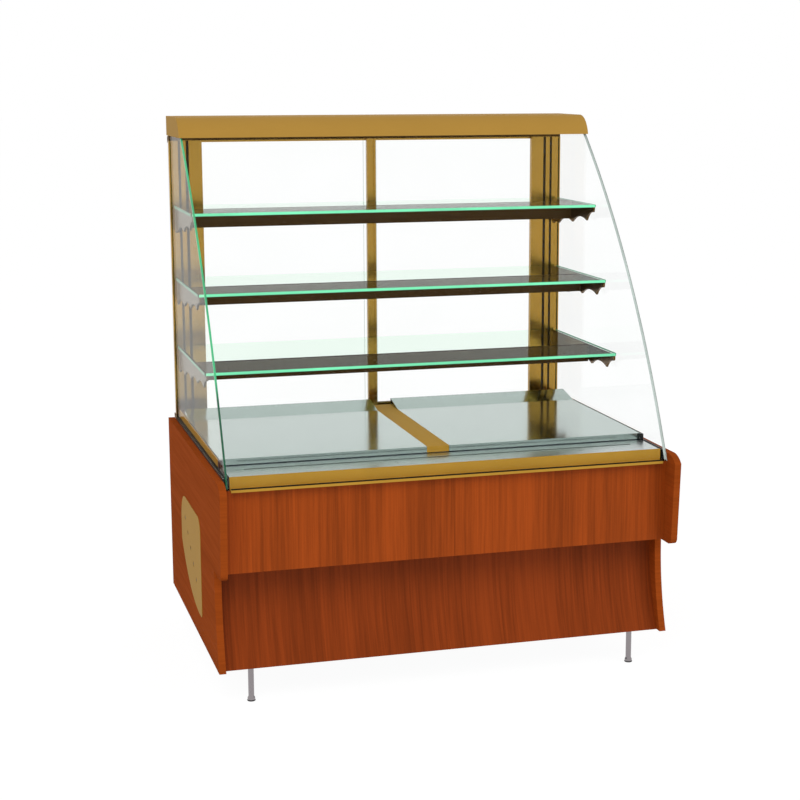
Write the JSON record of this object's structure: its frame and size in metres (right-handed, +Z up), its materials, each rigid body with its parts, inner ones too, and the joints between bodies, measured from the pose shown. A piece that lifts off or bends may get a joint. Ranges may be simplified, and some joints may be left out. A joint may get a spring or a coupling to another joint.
{
  "type": "refrigerated pastry display case",
  "caption": "Free-standing refrigerated pastry case with a bowed glass front, glass shelves on scalloped brackets, twin trays, sliding rear doors and a stepped wooden base on slim legs.",
  "frame": {"origin": "centre of the case's plan at floor level, under the legs", "axes": "+Z up, the glazed front faces -Y, +X to the right of someone who faces the front"},
  "size_m": [1.303, 0.965, 1.5615],
  "materials": {
    "wood": "lacquered reddish wood grain",
    "kick": "lacquered wood grain, a shade darker",
    "gold": "gold anodised, satin",
    "post": "pale gold anodised",
    "steel": "polished stainless sheet",
    "galv": "galvanised sheet",
    "chrome": "bright",
    "glass": "clear with a green edge",
    "black": "satin black",
    "rubber": "black seal",
    "beam": "dark brown paint",
    "compressor_black": "gloss black paint",
    "fins": "plain fins",
    "panel_grey": "light grey powder coat",
    "tub_white": "white liner",
    "fan_plastic": "black",
    "knob_plastic": "black",
    "rocker_red": "red",
    "lamp_white": "white diffuser",
    "lamp_case": "white paint"
  },
  "bodies": {
    "case": {"side_panel_left": "wood", "side_panel_right": "wood", "front_panel_upper": "wood", "front_panel_lower": "kick", "front_soffit": "kick", "base_floor": "galv", "legs": "chrome", "rear_rail": "galv", "tub_bearers": "galv", "rear_panel": "panel_grey", "cable_gland": "black", "cold_tub": "tub_white", "evaporator": "fins", "deck_edges": "gold", "end_caps": "black", "deck_bearer": "galv", "deck_divider": "gold", "tray_right": "steel", "tray_left": "steel", "front_ledge": "steel", "rear_ledge": "steel", "front_profile": "gold", "side_channels": "black", "front_pane": "glass", "side_pane_right": "glass", "side_pane_left": "glass", "upright_right": "post", "upright_left": "post", "centre_post": "post", "head_beam": "beam", "sill_track": "post", "head_track": "post", "top_cover": "gold", "glass_seal_strip": "rubber", "head_channels": "black", "cover_liner": "lamp_case", "lamp_housing": "lamp_case", "lamp_tube": "lamp_white", "shelf_low": "glass", "shelf_middle": "glass", "shelf_high": "glass", "shelf_beam_low": "beam", "shelf_beam_middle": "beam", "shelf_beam_high": "beam", "brackets_low": "gold", "brackets_middle": "gold", "brackets_high": "gold", "compressor": "compressor_black", "condenser": "fins", "fan_shroud": "galv", "fan_motor": "compressor_black", "control_box": "panel_grey", "side_plates": "gold"},
    "door_left": {"door_left": "glass", "door_ring_left": "chrome"},
    "door_right": {"door_right": "glass", "door_ring_right": "chrome"},
    "fan": {"fan_rotor": "fan_plastic"},
    "knob": {"thermostat_knob": "knob_plastic"},
    "rocker": {"power_rocker": "rocker_red"}
  },
  "joints": [
    {"name": "door_left_slide", "type": "slide", "parent": "case", "child": "door_left", "axis": [1, 0, 0], "range_m": [0, 0.6]},
    {"name": "door_right_slide", "type": "slide", "parent": "case", "child": "door_right", "axis": [-1, 0, 0], "range_m": [0, 0.6]},
    {"name": "fan_spin", "type": "hinge", "parent": "case", "child": "fan", "pos_m": [-0.33, 0.3075, 0.255], "axis": [0, -1, 0], "continuous": true},
    {"name": "thermostat_turn", "type": "hinge", "parent": "case", "child": "knob", "pos_m": [0.4575, 0.4655, 0.425], "axis": [0, -1, 0], "range_deg": [0, 270]},
    {"name": "power_rock", "type": "hinge", "parent": "case", "child": "rocker", "pos_m": [0.3825, 0.4595, 0.425], "axis": [-1, 0, 0], "range_deg": [0, 26]}
  ]
}
